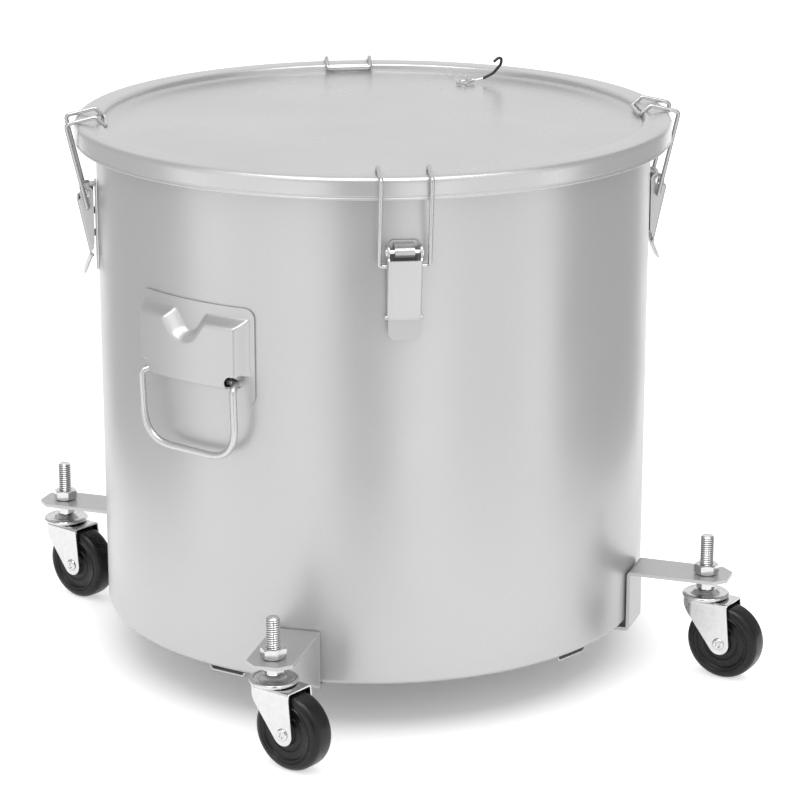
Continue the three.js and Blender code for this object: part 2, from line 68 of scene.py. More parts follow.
# ---- materials ----
class Finish:
    """A Principled material and short ways to feed its sockets from textures."""

    def __init__(self, name, color, metallic, roughness, **sockets):
        self.material = bpy.data.materials.new(name)
        self.material.use_nodes = True
        self.nodes = self.material.node_tree.nodes
        self.links = self.material.node_tree.links
        self.shader = self.nodes["Principled BSDF"]
        self.shader.inputs["Base Color"].default_value = (*color, 1)
        self.shader.inputs["Metallic"].default_value = metallic
        self.shader.inputs["Roughness"].default_value = roughness
        for key, value in sockets.items():
            self.shader.inputs[key.replace("_", " ")].default_value = value
        self.place = self.nodes.new("ShaderNodeTexCoord").outputs["Object"]

    def noise(self, scale, detail=2.0):
        node = self.nodes.new("ShaderNodeTexNoise")
        node.inputs["Scale"].default_value = scale
        node.inputs["Detail"].default_value = detail
        self.links.new(self.place, node.inputs["Vector"])
        return node.outputs["Fac"]

    def spread(self, value, low, high, socket, start=0.3, end=0.7):
        """Maps a texture onto a socket between two values."""
        node = self.nodes.new("ShaderNodeMapRange")
        for key, number in (("From Min", start), ("From Max", end), ("To Min", low), ("To Max", high)):
            node.inputs[key].default_value = number
        self.links.new(value, node.inputs["Value"])
        self.links.new(node.outputs["Result"], self.shader.inputs[socket])

    def tint(self, value, dark, light, start=0.3, end=0.7):
        """Runs the base colour between two colours."""
        ramp = self.nodes.new("ShaderNodeValToRGB")
        ramp.color_ramp.elements[0].position = start
        ramp.color_ramp.elements[1].position = end
        ramp.color_ramp.elements[0].color = (*dark, 1)
        ramp.color_ramp.elements[1].color = (*light, 1)
        self.links.new(value, ramp.inputs["Fac"])
        self.links.new(ramp.outputs["Color"], self.shader.inputs["Base Color"])

    def bump(self, value, distance, strength=1.0):
        """Adds height in millimetres."""
        node = self.nodes.new("ShaderNodeBump")
        node.inputs["Distance"].default_value = distance * MM
        node.inputs["Strength"].default_value = strength
        previous = self.shader.inputs["Normal"].links
        if previous:
            self.links.new(previous[0].from_socket, node.inputs["Normal"])
        self.links.new(value, node.inputs["Height"])
        self.links.new(node.outputs["Normal"], self.shader.inputs["Normal"])


def grey(level, warm=0.0):
    """A grey, made a little yellower by warm."""
    return (level * (1 + warm), level, level * (1 - warm))


def powder_coat(name, level, metallic, roughness, waves=0.08):
    """Silver-grey powder coat: fine flake, orange peel and slow changes of gloss."""
    finish = Finish(name, grey(level), metallic, roughness)
    finish.tint(finish.noise(2600, 1), grey(level * 0.93), grey(level * 1.05), 0.25, 0.75)
    finish.spread(finish.noise(9, 3), roughness - 0.04, roughness + 0.05, "Roughness")
    finish.bump(finish.noise(700, 2), 0.012)
    finish.bump(finish.noise(16, 2), waves)
    return finish.material


DRUM_PAINT = powder_coat("drum_powder_coat", 0.507, 0.62, 0.33)
LID_PAINT = powder_coat("lid_powder_coat", 0.535, 0.62, 0.28, waves=0.015)
LATCH_PAINT = powder_coat("latch_powder_coat", 0.52, 0.6, 0.34)
STRAP_PAINT = powder_coat("strap_powder_coat", 0.50, 0.6, 0.34)
RING_PAINT = powder_coat("ring_paint", 0.56, 0.8, 0.24)


def plating(name, level, roughness, blotch):
    """Bright plating with faint smudges and a fine grain."""
    finish = Finish(name, grey(level), 1.0, roughness)
    finish.spread(finish.noise(90, 3), roughness - blotch, roughness + blotch, "Roughness")
    finish.tint(finish.noise(240, 2), grey(level * 0.93), grey(level))
    finish.bump(finish.noise(500, 2), 0.006)
    return finish.material


CHROME = plating("caster_chrome", 0.67, 0.10, 0.04)
ZINC = plating("zinc_plating", 0.67, 0.20, 0.07)
PIN_CHROME = plating("pin_chrome", 0.84, 0.16, 0.05)
WIRE = plating("bright_wire", 0.52, 0.24, 0.06)


def thread_groove_shade_finish():
    """Plating with painted shade: its base colour is darker down in the thread's grooves, where shade falls.
    """
    finish = Finish("thread_zinc_painted_shade", grey(0.7), 1.0, 0.2)
    depth = finish.nodes.new("ShaderNodeNewGeometry").outputs["Pointiness"]
    # painted shade: the surface's pointiness runs the base colour from dark in the grooves to light on the
    # crests
    finish.tint(depth, grey(0.12), grey(0.74), 0.47, 0.53)
    finish.spread(finish.noise(120, 3), 0.14, 0.28, "Roughness")
    return finish.material


THREAD_ZINC_GROOVE_SHADE = thread_groove_shade_finish()


def wheel_finish():
    finish = Finish("wheel_black", grey(0.008), 0.0, 0.3, Specular_IOR_Level=0.3)
    finish.tint(finish.noise(60, 4), grey(0.005), grey(0.011, 0.03))
    finish.spread(finish.noise(140, 3), 0.22, 0.38, "Roughness")
    finish.bump(finish.noise(1100, 2), 0.02)
    return finish.material


def gasket_finish():
    finish = Finish("gasket_rubber", grey(0.62, 0.05), 0.0, 0.65)
    finish.tint(finish.noise(120, 3), grey(0.56, 0.06), grey(0.66, 0.05))
    finish.bump(finish.noise(900, 2), 0.03)
    return finish.material


def hook_finish():
    finish = Finish("hook_black_coat", grey(0.02), 0.1, 0.34)
    finish.spread(finish.noise(400, 2), 0.26, 0.44, "Roughness")
    finish.bump(finish.noise(1500, 2), 0.02)
    return finish.material


def mesh_finish():
    """White woven nylon: threads both ways, with gaps between them."""
    finish = Finish("bag_mesh", grey(0.86, 0.01), 0.0, 0.55, Sheen_Weight=0.3)
    threads = []
    for direction in ("Z", "DIAGONAL"):
        node = finish.nodes.new("ShaderNodeTexWave")
        node.bands_direction = direction
        node.inputs["Scale"].default_value = 420
        node.inputs["Distortion"].default_value = 0.4
        finish.links.new(finish.place, node.inputs["Vector"])
        threads.append(node.outputs["Fac"])
    both = finish.nodes.new("ShaderNodeMath")
    both.operation = "MAXIMUM"
    for thread, socket in zip(threads, both.inputs):
        finish.links.new(thread, socket)
    finish.spread(both.outputs["Value"], 0.35, 1.0, "Alpha", 0.3, 0.7)
    finish.bump(both.outputs["Value"], 0.15)
    return finish.material


WHEEL_BLACK = wheel_finish()
GASKET = gasket_finish()
HOOK_BLACK = hook_finish()
BAG_MESH = mesh_finish()


# ---- mesh helpers: shapes are (vertices, faces), in millimetres ----
def arc(cx, cy, radius, start, end, steps):
    """Points on an arc between two angles in degrees."""
    turns = [math.radians(start + (end - start) * i / steps) for i in range(steps + 1)]
    return [(cx + radius * math.cos(a), cy + radius * math.sin(a)) for a in turns]


def rounded_rect(x0, y0, x1, y1, radius, steps=6):
    """A rectangle's outline with rounded corners."""
    return [
        *arc(x1 - radius, y1 - radius, radius, 0, 90, steps),
        *arc(x0 + radius, y1 - radius, radius, 90, 180, steps),
        *arc(x0 + radius, y0 + radius, radius, 180, 270, steps),
        *arc(x1 - radius, y0 + radius, radius, 270, 360, steps),
    ]


def turned(profile, steps, ring=False):
    """Turns (radius, height) points about Z. A ring's profile closes on itself."""
    verts, faces, rows = [], [], []
    for r, z in profile:
        if r < 1e-6:
            rows.append([len(verts)])
            verts.append((0, 0, z))
            continue
        rows.append(list(range(len(verts), len(verts) + steps)))
        for i in range(steps):
            a = 2 * math.pi * i / steps
            verts.append((r * math.cos(a), r * math.sin(a), z))
    for a, b in zip(rows, rows[1:] + (rows[:1] if ring else [])):
        for i in range(steps):
            j = (i + 1) % steps
            if len(a) == 1 and len(b) > 1:
                faces.append((a[0], b[j], b[i]))
            elif len(b) == 1 and len(a) > 1:
                faces.append((a[i], a[j], b[0]))
            elif len(a) > 1:
                faces.append((a[i], a[j], b[j], b[i]))
    return verts, faces


def moved(shape, matrix):
    """The shape with a matrix applied to its points."""
    return [tuple(matrix @ Vector(v)) for v in shape[0]], shape[1]


def along_y(shape):
    """Lays a turned shape's axis along Y."""
    return moved(shape, Matrix.Rotation(math.radians(-90), 4, "X"))


def shifted(shape, x, y, z):
    return moved(shape, Matrix.Translation((x, y, z)))


def together(*shapes):
    """Several shapes as one."""
    verts, faces = [], []
    for shape in shapes:
        start = len(verts)
        verts += shape[0]
        faces += [tuple(i + start for i in face) for face in shape[1]]
    return verts, faces


def bent(corners, steps=8):
    """Rounds the inner corners of a path of (x, y, z, reach) points."""
    at = [Vector(c[:3]) for c in corners]
    path = [at[0]]
    for i in range(1, len(at) - 1):
        back, ahead = (at[i - 1] - at[i]).normalized(), (at[i + 1] - at[i]).normalized()
        reach = corners[i][3] / math.tan(back.angle(ahead) / 2)
        start, end = at[i] + back * reach, at[i] + ahead * reach
        for k in range(steps + 1):
            t = k / steps
            path.append(start * (1 - t) ** 2 + at[i] * 2 * t * (1 - t) + end * t * t)
    return [*path, at[-1]]


def tube(path, radius, sides=14):
    """A round wire along a path, with softly rounded ends."""
    path = [Vector(p) for p in path]
    tangents = []
    for i, p in enumerate(path):
        before, after = path[max(i - 1, 0)], path[min(i + 1, len(path) - 1)]
        tangents.append((after - before).normalized())
    side = tangents[0].orthogonal().normalized()
    stations = []
    for p, t in zip(path, tangents):
        side = (side - t * side.dot(t)).normalized()
        stations.append((p, t, side, radius))
    # each end face is narrower than the wire, and a short slope leads to it
    face, slope = radius * 0.6, radius * 0.35
    (start, ahead, start_side, _), (end, onward, end_side, _) = stations[0], stations[-1]
    stations[0] = (start + ahead * slope, ahead, start_side, radius)
    stations[-1] = (end - onward * slope, onward, end_side, radius)
    stations = [(start, ahead, start_side, face), *stations, (end, onward, end_side, face)]
    verts, faces = [], []
    for p, t, s, r in stations:
        other = t.cross(s)
        for k in range(sides):
            a = 2 * math.pi * k / sides
            verts.append(tuple(p + (s * math.cos(a) + other * math.sin(a)) * r))
    for row in range(len(stations) - 1):
        for k in range(sides):
            j = (k + 1) % sides
            a, b = row * sides, (row + 1) * sides
            faces.append((a + k, a + j, b + j, b + k))
    faces.append(tuple(range(sides - 1, -1, -1)))
    last = (len(stations) - 1) * sides
    faces.append(tuple(range(last, last + sides)))
    return verts, faces


def piece(name, shape, material, body, nodes, at, solid=None, edge=None, sharp=38):
    """Makes one object of the model from a shape in millimetres.

    solid is the thickness to give an open sheet, edge is the radius of its worn-off edges, and sharp is
    the angle in degrees past which an edge isn't smoothed over.
    """
    mesh = bpy.data.meshes.new(name)
    mesh.from_pydata(shape[0], [], shape[1])
    mesh.transform(at)
    bm = bmesh.new()
    bm.from_mesh(mesh)
    bmesh.ops.remove_doubles(bm, verts=bm.verts, dist=2e-6)
    bmesh.ops.recalc_face_normals(bm, faces=bm.faces)
    bm.to_mesh(mesh)
    bm.free()
    obj = bpy.data.objects.new(name, mesh)
    bpy.context.scene.collection.objects.link(obj)
    if solid:
        thicken = obj.modifiers.new("sheet", "SOLIDIFY")
        thicken.thickness, thicken.offset, thicken.use_even_offset = solid * MM, 0, True
    if edge:
        soften = obj.modifiers.new("edges", "BEVEL")
        soften.width, soften.segments = edge * MM, 2
        soften.limit_method, soften.angle_limit = "ANGLE", math.radians(50)
        soften.use_clamp_overlap = True
    if solid or edge:
        bpy.context.view_layer.update()
        finished = obj.evaluated_get(bpy.context.evaluated_depsgraph_get())
        final = bpy.data.meshes.new_from_object(finished)
        obj.modifiers.clear()
        obj.data = final
        final.name = name
    obj.data.shade_smooth()
    obj.data.set_sharp_from_angle(angle=math.radians(sharp))
    obj.data.materials.clear()
    obj.data.materials.append(material)
    if solid or edge:
        flatten = obj.modifiers.new("flat_faces", "WEIGHTED_NORMAL")
        flatten.keep_sharp = True
    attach(obj, body)
    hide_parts(*nodes)
    return obj


def flat_pattern(outline, holes, cuts_u, cuts_v, fold):
    """Fills a flat outline, scores it along lines of equal u and v, and folds it into space."""
    loops = [[Vector((u, v, 0)) for u, v in loop] for loop in (outline, *holes)]
    points = [p for loop in loops for p in loop]
    bm = bmesh.new()
    verts = [bm.verts.new(p) for p in points]
    for corners in geometry.tessellate_polygon(loops):
        if len(set(corners)) == 3:
            bm.faces.new([verts[i] for i in corners])
    for axis, values in ((0, cuts_u), (1, cuts_v)):
        for value in values:
            place, normal = Vector((0, 0, 0)), Vector((0, 0, 0))
            place[axis], normal[axis] = value, 1
            everything = bm.verts[:] + bm.edges[:] + bm.faces[:]
            bmesh.ops.bisect_plane(bm, geom=everything, plane_co=place, plane_no=normal, dist=1e-5)
    bmesh.ops.recalc_face_normals(bm, faces=bm.faces)
    bm.verts.index_update()
    folded = [tuple(fold(v.co.x, v.co.y)) for v in bm.verts]
    faces = [tuple(v.index for v in f.verts) for f in bm.faces]
    bm.free()
    return folded, faces


class Run:
    """A sheet's side line in the X-Z plane: v is the distance along it."""

    def __init__(self, points):
        self.points = [Vector(p) for p in points]
        self.at = [0.0]
        for a, b in zip(self.points, self.points[1:]):
            self.at.append(self.at[-1] + (b - a).length)

    def __call__(self, v):
        """The point at distance v, and the direction there."""
        i = 0
        while i < len(self.at) - 2 and v > self.at[i + 1]:
            i += 1
        a, b = self.points[i], self.points[i + 1]
        ahead = (b - a).normalized()
        return a + ahead * (v - self.at[i]), ahead


def fillet(points, radius, steps=6):
    """Rounds the inner corners of a 2-D line."""
    return [(p.x, p.y) for p in bent([(x, y, 0, radius) for x, y in points], steps)]


# ---- drum and lid ----
def drum_shell():
    corner, inner = RADIUS - 4, RADIUS - SHEET
    bead_r, bead_z = RADIUS + 3.7, TOP - 9.6
    profile = [
        (0, BOTTOM + 0.8),
        (150, BOTTOM + 0.8),
        (186, BOTTOM + 0.6),
        (200, BOTTOM),
        *arc(corner, BOTTOM + 4, 4, -90, 0, 6),
        (RADIUS, BOTTOM + 60),
        (RADIUS, TOP - 60),
        *arc(bead_r, bead_z, 4.5, -145, 180, 14),
        (inner, bead_z - 4.5),
        (inner, TOP - 60),
        (inner, BOTTOM + 60),
        *arc(corner, BOTTOM + 4, 2.5, 0, -90, 4),
        (200, BOTTOM + SHEET),
        (0, BOTTOM + SHEET + 0.6),
    ]
    piece("drum", turned(profile, 256), DRUM_PAINT, "drum", ["drum_shell"], Matrix.Scale(MM, 4))


def lid_shell():
    round_off = 4.6
    shoulder, panel, hem = LID_RADIUS - round_off, TOP - 7, TOP - 17
    outer = [
        *arc(LID_RADIUS - 0.9, hem + 1.0, 0.9, -90, 60, 5),
        (LID_RADIUS - 0.7, hem + 2.6),
        (LID_RADIUS - 0.65, hem + 3.0),
        (LID_RADIUS, hem + 3.7),
        *arc(shoulder, TOP - round_off, round_off, 0, 90, 10),
        (221, TOP),
        *arc(214.6, TOP - 2.6, 2.6, 90, 172, 7),
        (211.7, TOP - 4.6),
        *arc(210.3, TOP - 6.0, 0.9, 60, 140, 4),
        (208.4, TOP - 6.1),
        (204, TOP - 6.6),
        (199, TOP - 6.95),
        (190, panel),
        (0, panel),
    ]
    inner = [
        (0, panel - SHEET),
        (198, panel - SHEET),
        (209.5, TOP - 8.0),
        *arc(214.8, TOP - 2.9, 1.3, 180, 90, 4),
        *arc(shoulder, TOP - round_off, round_off - SHEET, 90, 0, 6),
        (LID_RADIUS - SHEET, hem + 3),
        (LID_RADIUS - 1.8, hem + 1.2),
    ]
    piece("lid", turned([*inner, *outer], 256), LID_PAINT, "lid", ["lid"], Matrix.Scale(MM, 4))


def lid_gasket():
    low, high = TOP - 4.8, TOP - SHEET - 0.3
    middle = (low + high) / 2
    profile = [
        *arc(219.7, middle, (high - low) / 2, 270, 90, 6),
        (222, high),
        (222.6, high - 0.4),
        (223.4, high - 0.4),
        (224, high),
        *arc(226.5, middle, (high - low) / 2, 90, -90, 6),
    ]
    piece("lid_gasket", turned(profile, 192, ring=True), GASKET, "lid", ["lid_gasket"], Matrix.Scale(MM, 4))


def lid_hook():
    """A bright twisted eye and shank on the lid's panel, and the black hook on its end."""
    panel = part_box("lid_hook")[0].z / MM
    out, heading = 172, math.radians(36.2)
    spot = Vector((out * math.cos(heading), out * math.sin(heading), panel + 1.2))
    at = Matrix.Scale(MM, 4) @ Matrix.Translation(spot) @ Matrix.Rotation(math.radians(-20), 4, "Z")
    eye = []
    for i in range(61):
        a = math.radians(30 + 690 * i / 60)
        r = 5.2 + 0.8 * math.sin(2.5 * a)
        eye.append((r * math.cos(a), r * math.sin(a), 0.5 + 0.9 * math.sin(3 * a) + 1.1 * i / 60))
    wrap = []
    for i in range(49):
        a = 2 * math.pi * 3.5 * i / 48
        wrap.append((5.6 + 4.2 * i / 48, 1.25 * math.cos(a), 1.5 + 1.25 * math.sin(a)))
    shank = bent([(5.2, 0.6, 1.2, 0), (10, 0, 1.5, 2), (17.4, 0, 3.2, 0)], 4)
    shape = together(tube(eye, 0.75, 10), tube(wrap, 0.6, 8), tube(shank, 0.85, 10))
    piece("lid_hook_eye", shape, CHROME, "lid", ["lid_hook"], at)
    hook = bent([(16.6, 0, 2.9, 0), (25.5, 0, 7.2, 10), (31.8, 0, 14.6, 6), (32.6, 0, 20.6, 2.3),
                 (29.2, 0, 19.6, 2), (25.6, 0, 16.6, 0)], 8)
    piece("lid_hook", tube(hook, 1.2, 12), HOOK_BLACK, "lid", ["lid_hook"], at)


# ---- toggle latches, drawn round the lever's pivot with +X outwards ----
PLATE_X = RADIUS + 0.3 + SHEET / 2 - 225.5
LEVER_WIDTH = 25.0


def latch_plate(side, at):
    outline = rounded_rect(-10.5, -62, 10.5, 7.5, 3.2)
    rivet = turned([(0, 1.5), (1.6, 1.4), (2.7, 0.8), (3.1, 0), (0, -0.2)], 24)
    rivet = moved(rivet, Matrix.Rotation(math.radians(90), 4, "Y"))
    rivets = [shifted(rivet, PLATE_X + 0.75, 0, z) for z in (-16, -34)]
    flat = flat_pattern(outline, [], [], [], lambda u, v: (PLATE_X, u, v))
    curl = Run([(PLATE_X + 0.2, 5.1), *fillet([(PLATE_X + 0.6, 5.1), (-3.5, 5.1), (-1.2, 3.4)], 1.2, 5),
                *arc(0, 0, 3.45, 96, -190, 30)])
    cuts = [curl.at[-1] * k / 44 for k in range(1, 44)]
    tongue = [(-7.2, 0), (7.2, 0), (7.2, curl.at[-1]), (-7.2, curl.at[-1])]

    def wrap(u, v):
        point, _ = curl(v)
        return point.x, u, point.y

    node = f"latch_plate_{side}"
    knuckle = flat_pattern(tongue, [], [], cuts, wrap)
    piece(node, flat, LATCH_PAINT, "drum", [node], at, SHEET, 0.3)
    piece(f"latch_knuckle_{side}", knuckle, LATCH_PAINT, "drum", [node], at, SHEET, 0.25)
    piece(f"latch_rivets_{side}", together(*rivets), LATCH_PAINT, "drum", [node], at)


def latch_pin(side, at):
    head, flange = 3.3, LEVER_WIDTH / 2 + 0.3
    end = [(0, flange + 1.2), (1.0, flange + 1.2), (2.4, flange + 1.05), (3.1, flange + 0.6), (head, flange)]
    profile = [(r, -z) for r, z in end] + [(2, -flange), (2, flange)] + list(reversed(end))
    node = f"latch_pin_{side}"
    piece(node, along_y(turned(profile, 28)), PIN_CHROME, "drum", [node], at)


def latch_lever(side, at, body):
    """Folded from one flat blank: face, two side flanges with ears, a crease and a lip."""
    top, crease, lip = Vector((7, -5)), Vector((-2.5, -51)), Vector((3.2, -65))
    line = Run([top, *[Vector(p) for p in fillet([top, crease, lip], 5, 8)][1:-1], lip])
    down = (crease - top).normalized()
    back = Vector((down.y, -down.x))
    half, reach = LEVER_WIDTH / 2 - 0.65, 1.5

    def unroll(x, z):
        """Where a point of the side flange lies on the flat blank."""
        offset = Vector((x, z)) - top
        depth = offset.dot(back)
        return half - reach + depth + (math.pi / 2 - 1) * reach, offset.dot(down)

    ear = [unroll(x, z) for x, z in [(6.55, -5.4), *arc(0, 0, 5.5, -38, 172, 14), (-5.3, -6), (-5.2, -40),
                                     *arc(-6.8, -44.6, 3.2, 30, -8, 4), (-2.6, -48.4)]]
    face = half - reach + 0.6
    right = [(face, 0), *ear, (half + 0.05, 46.4)]
    length = line.at[-1]
    end = arc(half + 0.1 - 5, length - 5, 5, 0, 90, 8)
    right = [*right, (half + 0.1, 48), *end]
    outline = right + [(-u, v) for u, v in reversed(right)]
    bends = [half - reach + math.pi / 2 * reach * k / 5 for k in range(6)]

    def fold(u, v):
        point, ahead = line(v)
        behind = Vector((ahead.y, -ahead.x))
        side_way, over = (1 if u > 0 else -1), abs(u) - (half - reach)
        if over <= 0 or v > 46.2:
            return point.x, u, point.y
        turn = min(over / reach, math.pi / 2)
        y = half - reach + reach * math.sin(turn)
        depth = reach * (1 - math.cos(turn)) + max(over - math.pi / 2 * reach, 0)
        return point.x + behind.x * depth, side_way * y, point.y + behind.y * depth

    cuts_v = line.at[1:-1] + [46.19, 46.21]
    blank = flat_pattern(outline, [], bends + [-b for b in bends], cuts_v, fold)
    lug = turned([(0, 0.9), (1.0, 0.8), (1.5, 0), (1.5, -2), (0, -2)], 16)
    lugs = []
    for turn in (-90, 90):
        y = math.copysign(LEVER_WIDTH / 2 + 0.9, -turn)
        lugs.append(shifted(moved(lug, Matrix.Rotation(math.radians(turn), 4, "X")), -3.0, y, -49.3))
    node = f"latch_lever_{side}"
    piece(node, blank, LATCH_PAINT, body, [node], at, 1.3, 0.3)
    piece(f"latch_lugs_{side}", together(*lugs), LATCH_PAINT, body, [node], at)


def latch_bail(side, at, body):
    height = TOP - JOINTS[f"lever_{side}_pivot"]["pos_m"][2] / MM
    foot = LEVER_WIDTH / 2 - 1.9

    def leg(s):
        return [(-0.5, s * foot, -10.6, 0), (-0.5, s * 18.3, -10.6, 2.6), (14.4, s * 18.3, height - 0.8, 3.6),
                (-8.5, s * 18.3, height + 4.6, 3), (-16.4, s * 18.3, height - 2.6, 2.2)]

    path = bent([*leg(1), *reversed(leg(-1))], 8)
    node = f"latch_bail_{side}"
    piece(node, tube(path, 1.65, 16), WIRE, body, [node], at)


# ---- carrying handles ----
PLATE_WIDTH, PLATE_HEIGHT = 111.0, 74.0
PAD_HEIGHT = 11.0


def ease(t, soft=0.55):
    """0 to 1, with its two corners rounded off."""
    t = min(max(t, 0.0), 1.0)
    return t * (1 - soft) + soft * t * t * (3 - 2 * t)


def pad_height(across, up):
    """The pressed pad: bevelled all round, with a V-shaped notch in its top edge."""
    side = abs(across)
    low = 12.5 + 10.5 * ease((side - 39) / 7)
    tilt, tip = math.radians(36), up - 59
    below_tip = side * math.sin(tilt) + tip * math.cos(tilt) < 0
    to_notch = math.hypot(side, tip) if below_tip else side * math.cos(tilt) - tip * math.sin(tilt)
    parts = (ease((66 - up) / 7.5), ease((52 - side) / 10), ease((up - low) / 2.2), ease((to_notch - 8) / 8))
    total = sum(math.exp(-26 * p) for p in parts)
    return PAD_HEIGHT * max(0.0, min(1.0, -math.log(total) / 26)) if min(parts) > 0 else 0.0


def handle_plate(side, angle):
    at = Matrix.Scale(MM, 4) @ Matrix.Rotation(angle, 4, "Z")
    node = f"handle_plate_{side}"
    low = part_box(node)[0].z / MM
    hole_u, hole_v, hole_r = 41.0, 18, 5.6
    step = 0.75
    columns, rows = round(PLATE_WIDTH / step), round(PLATE_HEIGHT / step)
    verts, keep = [], {}
    for j in range(rows + 1):
        for i in range(columns + 1):
            u, v = -PLATE_WIDTH / 2 + PLATE_WIDTH * i / columns, PLATE_HEIGHT * j / rows
            # the outline's corners are rounded by drawing the grid's corners in
            cu, cv = PLATE_WIDTH / 2 - 8, (8 if v < PLATE_HEIGHT / 2 else PLATE_HEIGHT - 8)
            ou, ov = abs(u) - cu, (cv - v if v < PLATE_HEIGHT / 2 else v - cv)
            if ou > 0 and ov > 0:
                squeeze = max(ou, ov) / math.hypot(ou, ov)
                u = math.copysign(cu + ou * squeeze, u)
                v = cv + (-1 if v < PLATE_HEIGHT / 2 else 1) * ov * squeeze
            # the holes' edges run through grid points moved onto a circle
            hu, hv = abs(u) - hole_u, v - hole_v
            away = math.hypot(hu, hv)
            if away < hole_r - 0.45 * step:
                keep[(i, j)] = None
                continue
            if away < hole_r + 0.55 * step:
                u = math.copysign(hole_u + hu * hole_r / away, u)
                v = hole_v + hv * hole_r / away
            rise = pad_height(u, v)
            lip = max(0.0, 1 - (away - hole_r) / 1.2) if rise > 1 else 0.0
            r = RADIUS + 0.9 + rise - 0.5 * lip * lip
            keep[(i, j)] = len(verts)
            verts.append((r * math.cos(u / RADIUS), r * math.sin(u / RADIUS), low + v))
    faces = []
    for j in range(rows):
        for i in range(columns):
            corners = [keep[(i, j)], keep[(i + 1, j)], keep[(i + 1, j + 1)], keep[(i, j + 1)]]
            corners = [c for c in corners if c is not None]
            if len(corners) >= 3:
                faces.append(tuple(corners))
    piece(node, (verts, faces), DRUM_PAINT, "drum", [node], at, 1.2)


def handle_ring(side, at):
    node = f"handle_ring_{side}"
    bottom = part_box(node)[0].z / MM + 2.4 - JOINTS[f"ring_{side}_pivot"]["pos_m"][2] / MM
    slid = 4.0  # the ring has some play in its holes and hangs a little to one side

    def leg(s):
        return [(0, s * 31 + slid, 0, 0), (0, s * 39 + slid, 0, 2.5), (10.4, s * 45 + slid, -3.6, 4),
                (8.2, s * 44.5 + slid, bottom, 27)]

    path = bent([*leg(1), *reversed(leg(-1))], 12)
    piece(node, tube(path, 2.7, 18), RING_PAINT, f"ring_{side}", [node], at)


# ---- feet and cross-shaped base ----
def foot(side):
    low, high = (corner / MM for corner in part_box(f"foot_{side}"))
    middle = (low + high) / 2
    heading = math.atan2(middle.y, middle.x)
    at = Matrix.Scale(MM, 4) @ Matrix.Rotation(heading, 4, "Z")
    thick = 1.2
    bottom, top = low.z + thick / 2, high.z
    line = Run(fillet([(-15.9, top), (-14.2, bottom), (14.2, bottom), (15.9, top)], 1.6, 5))
    length = line.at[-1]

    def fold(u, v):
        point, _ = line(v)
        return 206 + u, point.x, point.y

    strip = [(-8, 0), (8, 0), (8, length), (-8, length)]
    shape = flat_pattern(strip, [], [], line.at[1:-1], fold)
    piece(f"foot_{side}", shape, STRAP_PAINT, "drum", [f"foot_{side}"], at, thick, 0.25)


def base_strap(name, caster, floor_top):
    """One strap: a floor run, two risers and two tabs with clipped corners and a bolt hole each."""
    thick, half_width, clip, tab_top = 3.0, 18.0, 9.0, 82.0
    place = Vector(JOINTS[f"swivel_{caster}"]["pos_m"]) / MM
    reach = math.hypot(place.x, place.y)
    at = Matrix.Scale(MM, 4) @ Matrix.Rotation(math.atan2(place.y, place.x), 4, "Z")
    floor, tab, riser, end = floor_top - thick / 2, tab_top - thick / 2, RADIUS + 2, reach + 19
    side = [(-end, tab), (-riser, tab), (-riser, floor), (riser, floor), (riser, tab), (end, tab)]
    line = Run(fillet(side, 2.5, 6))
    far = line.at[-1] / 2

    def fold(u, v):
        point, _ = line(v + far)
        return point.x, u, point.y

    quarter = [(half_width, far - clip - 0.6), (half_width - 0.3, far - clip + 0.5),
               (half_width - clip + 0.5, far - 0.3), (half_width - clip - 0.6, far)]
    outline = quarter + [(-u, v) for u, v in reversed(quarter)]
    outline += [(-u, -v) for u, v in quarter] + [(u, -v) for u, v in reversed(quarter)]
    holes = [[(x, v + y) for x, y in arc(0, 0, 5.3, 0, 345, 23)] for v in (-(far - 19), 0, far - 19)]
    shape = flat_pattern(outline, holes, [], [v - far for v in line.at[1:-1]], fold)
    piece(name, shape, STRAP_PAINT, "drum", [name], at, thick, 0.4)


def base_rivet():
    under, top = 31.6, BOTTOM - 0.3
    profile = [(0, under - 3.4), (3.5, under - 3.2), (6.3, under - 2.5), (8.1, under - 1.4),
               (8.9, under - 0.5), (9, under), (5, under), (5, top), (0, top)]
    piece("base_rivet", turned(profile, 40), ZINC, "drum", ["base_rivet"], Matrix.Scale(MM, 4))


# ---- casters, drawn round the stem's axis from the ground up, with the wheel along +X ----
def hexagon(across, low, high, bore):
    """A hexagonal prism with its corners turned down at both ends."""
    steps, ring, sides = 72, 0.94 * across / 2, []
    for i in range(steps):
        a = 2 * math.pi * i / steps
        corner = across / 2 / math.cos((a + math.pi / 6) % (math.pi / 3) - math.pi / 6)
        drop = max(corner - ring, 0) * math.tan(math.radians(30))
        sides.append([(bore, low), (ring, low), (corner, low + drop), (corner, high - drop), (ring, high),
                      (bore + 0.8, high), (bore, high - 0.8)])
    verts, faces, rows = [], [], len(sides[0])
    for i, side in enumerate(sides):
        a = 2 * math.pi * i / steps
        verts += [(r * math.cos(a), r * math.sin(a), z) for r, z in side]
        j = (i + 1) % steps
        for k in range(rows):
            m = (k + 1) % rows
            faces.append((i * rows + k, j * rows + k, j * rows + m, i * rows + m))
    return verts, faces


TRAIL = 18.5       # from the stem's axis to the wheel's axle
WHEEL_RADIUS = 30.0


def threaded(radius, low, high, pitch, sides=36):
    """A threaded bar: one thread that winds up it and runs out at a chamfered end."""
    count = round((high - low) / pitch * 10)
    verts, faces = [], []
    for j in range(count + 1):
        z = low + (high - low) * j / count
        for i in range(sides):
            a = 2 * math.pi * i / sides
            depth = 0.75 * abs(2 * ((z / pitch - i / sides) % 1) - 1)
            r = min(radius - depth, radius - 1.3 + (high - z))
            verts.append((r * math.cos(a), r * math.sin(a), z))
    for j in range(count):
        for i in range(sides):
            k = (i + 1) % sides
            faces.append((j * sides + i, j * sides + k, (j + 1) * sides + k, (j + 1) * sides + i))
    faces.append(tuple(range(count * sides, (count + 1) * sides)))
    faces.append(tuple(reversed(range(sides))))
    return verts, faces


